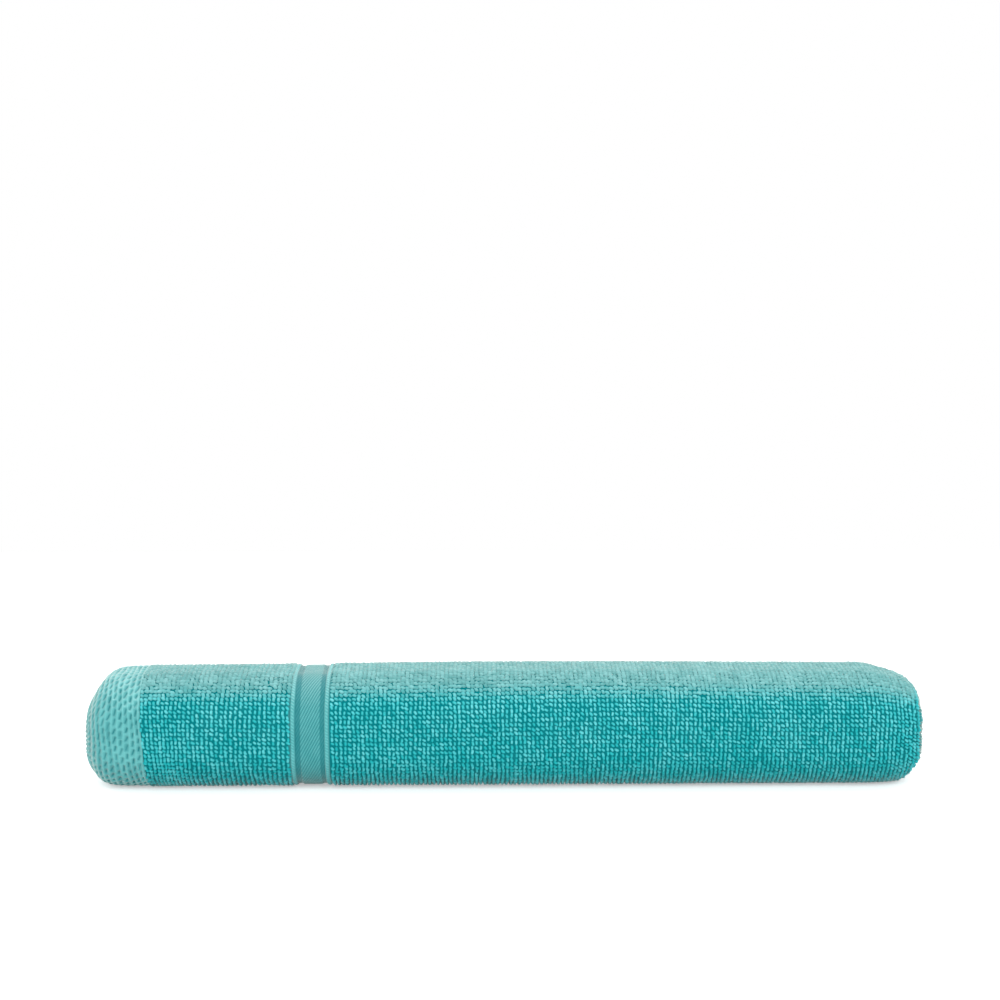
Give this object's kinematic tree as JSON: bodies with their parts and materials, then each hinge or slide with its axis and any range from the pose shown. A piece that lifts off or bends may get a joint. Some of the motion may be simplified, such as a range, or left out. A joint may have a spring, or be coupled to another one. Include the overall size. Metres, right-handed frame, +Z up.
{
  "type": "bath towel",
  "caption": "Terry bath towel folded once across and rolled into a long soft bar, with a flat-woven border band and flat end hems at one end and the turned fold at the other.",
  "frame": {"origin": "centre of the rolled towel's bounding box, on the surface that it rests on", "axes": "+X along the roll from the end hems to the turned fold, +Y from the front of the roll to its back, where the free edge of the cloth lies, +Z up"},
  "size_m": [0.7, 0.1032, 0.0976],
  "materials": {
    "terry": "turquoise cotton terry, uncut loops on both faces",
    "hem_weave": "pale turquoise flat-woven cotton hem",
    "border_weave": "pale turquoise twill border, slightly lustrous",
    "border_cord": "pale turquoise corded rib beside the border",
    "thread": "matching cotton sewing thread"
  },
  "bodies": {
    "root": {"turned_fold": "terry", "end_hem_outer": "hem_weave", "end_hem_stitching_outer": "thread", "end_terry_outer": "terry", "border_cord_left_outer": "border_cord", "border_band_outer": "border_weave", "border_cord_right_outer": "border_cord", "body_terry_outer": "terry", "side_hem_core_outer": "hem_weave", "side_stitching_core_outer": "thread", "side_hem_edge_outer": "hem_weave", "side_stitching_edge_outer": "thread", "end_hem_inner": "hem_weave", "end_hem_stitching_inner": "thread", "end_terry_inner": "terry", "border_cord_left_inner": "border_cord", "border_band_inner": "border_weave", "border_cord_right_inner": "border_cord", "body_terry_inner": "terry", "side_hem_core_inner": "hem_weave", "side_stitching_core_inner": "thread", "side_hem_edge_inner": "hem_weave", "side_stitching_edge_inner": "thread"}
  },
  "joints": []
}
